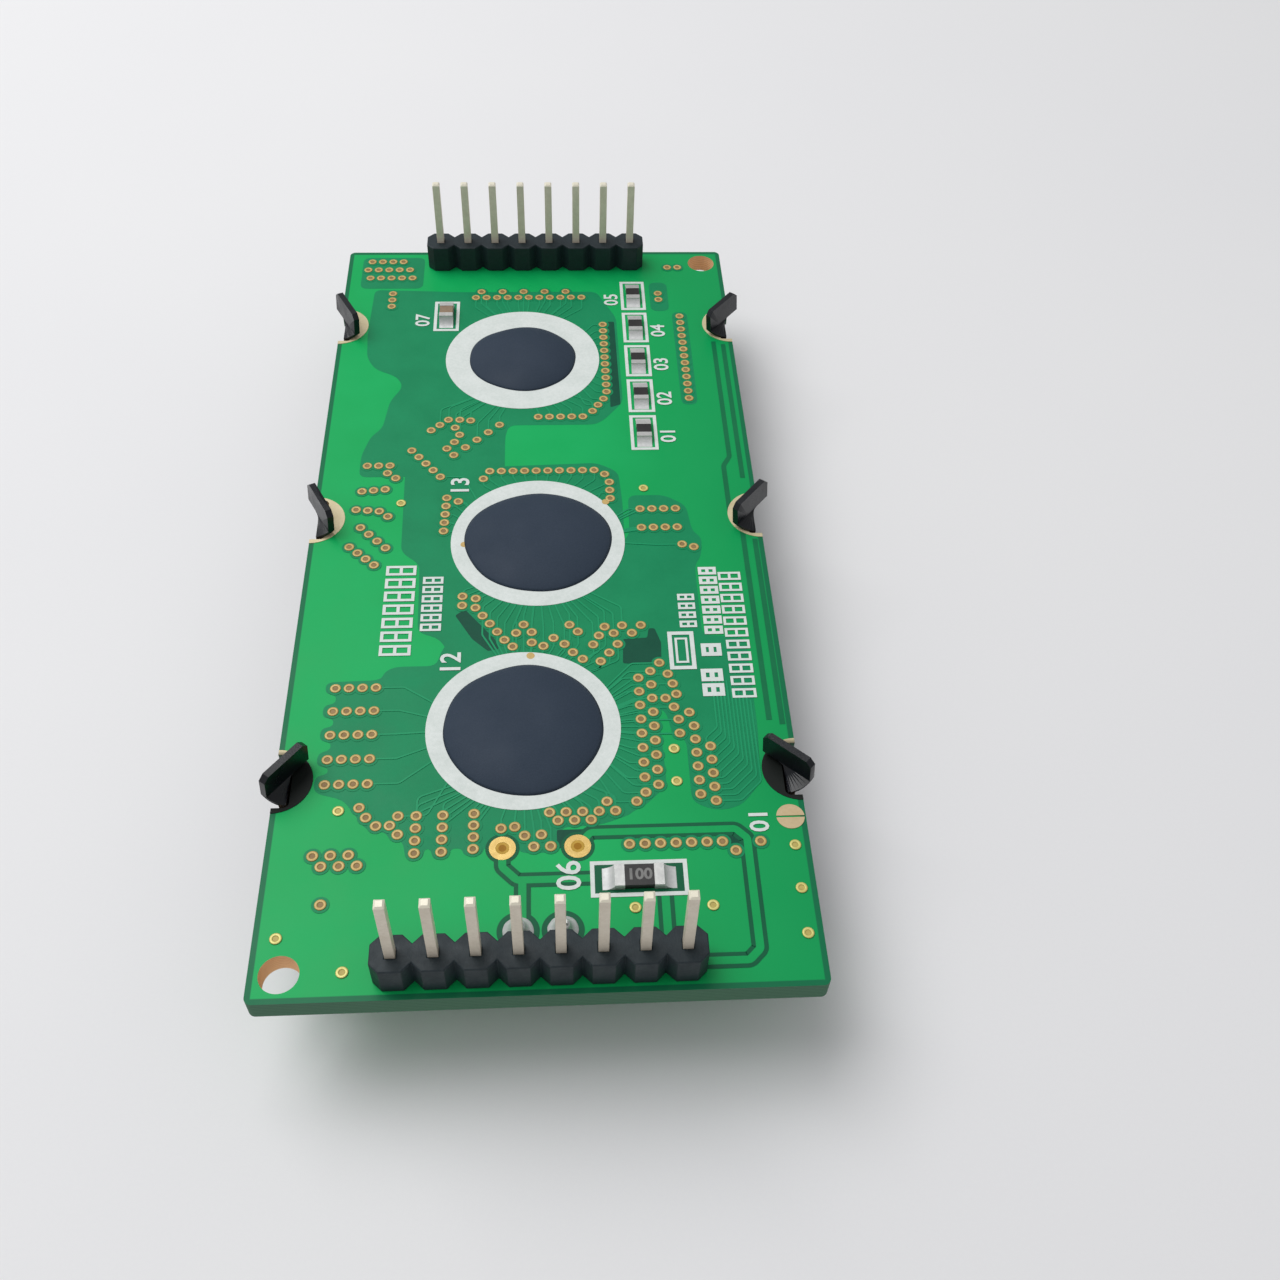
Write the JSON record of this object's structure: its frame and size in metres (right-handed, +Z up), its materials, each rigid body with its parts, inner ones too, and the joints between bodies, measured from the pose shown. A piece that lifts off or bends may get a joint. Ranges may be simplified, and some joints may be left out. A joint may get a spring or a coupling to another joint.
{
  "type": "character lcd module",
  "caption": "Character LCD module with a folded steel bezel, a green board with epoxy-capped chips and a pin header at each end.",
  "frame": {"origin": "middle of the footprint, on the plane that the bezel's front face rests on", "axes": "+X across the board, +Y along the board from the near header to the far header, +Z up, out of the component side; the display faces -Z"},
  "size_m": [0.037, 0.077, 0.0169],
  "materials": {
    "bezel": "satin black paint",
    "front_polariser": "gloss",
    "front_glass": "clear",
    "cell_seal": "matt",
    "rear_glass": "clear",
    "rear_polariser": "gloss",
    "contact_strip": "matt",
    "backlight_tray": "matt white",
    "diffuser_film": "matt",
    "light_guide": "clear gloss",
    "reflector_film": "bright white",
    "lamp_strip": "matt",
    "lamps": "satin",
    "lead": "tinned",
    "solder": "bright, slightly grainy",
    "board": "gloss green solder mask",
    "via_ring": "gold under solder mask",
    "gold_plate": "gold plate",
    "white_ink": "matt",
    "silicon": "polished",
    "epoxy": "satin dark slate",
    "header_body": "satin black",
    "header_pin": "pale plate",
    "resistor_body": "black glaze",
    "small_resistor_body": "black glaze",
    "capacitor_body": "matt brown",
    "chip_end": "tinned"
  },
  "bodies": {
    "root": {"bezel": "bezel", "front_polariser": "front_polariser", "front_glass": "front_glass", "cell_seal": "cell_seal", "rear_glass": "rear_glass", "rear_polariser": "rear_polariser", "left_contact_strip": "contact_strip", "right_contact_strip": "contact_strip", "backlight_tray": "backlight_tray", "diffuser_film": "diffuser_film", "light_guide": "light_guide", "reflector_film": "reflector_film", "lamp_strip": "lamp_strip", "lamps": "lamps", "backlight_leads": "lead", "lead_joints": "solder", "board": "board", "vias": "via_ring", "eyelets": "gold_plate", "tab_pads": "gold_plate", "jumper_pads": "gold_plate", "chip_rings": "white_ink", "part_outlines": "white_ink", "near_die": "silicon", "middle_die": "silicon", "far_die": "silicon", "near_epoxy_cap": "epoxy", "middle_epoxy_cap": "epoxy", "far_epoxy_cap": "epoxy", "near_header_body": "header_body", "near_header_pins": "header_pin", "near_header_solder": "solder", "far_header_body": "header_body", "far_header_pins": "header_pin", "far_header_solder": "solder", "large_resistor_body": "resistor_body", "large_resistor_ends": "chip_end", "large_resistor_solder": "solder", "small_resistor_bodies": "small_resistor_body", "small_resistor_ends": "chip_end", "small_resistor_solder": "solder", "capacitor_body": "capacitor_body", "capacitor_ends": "chip_end", "capacitor_solder": "solder"}
  },
  "joints": []
}
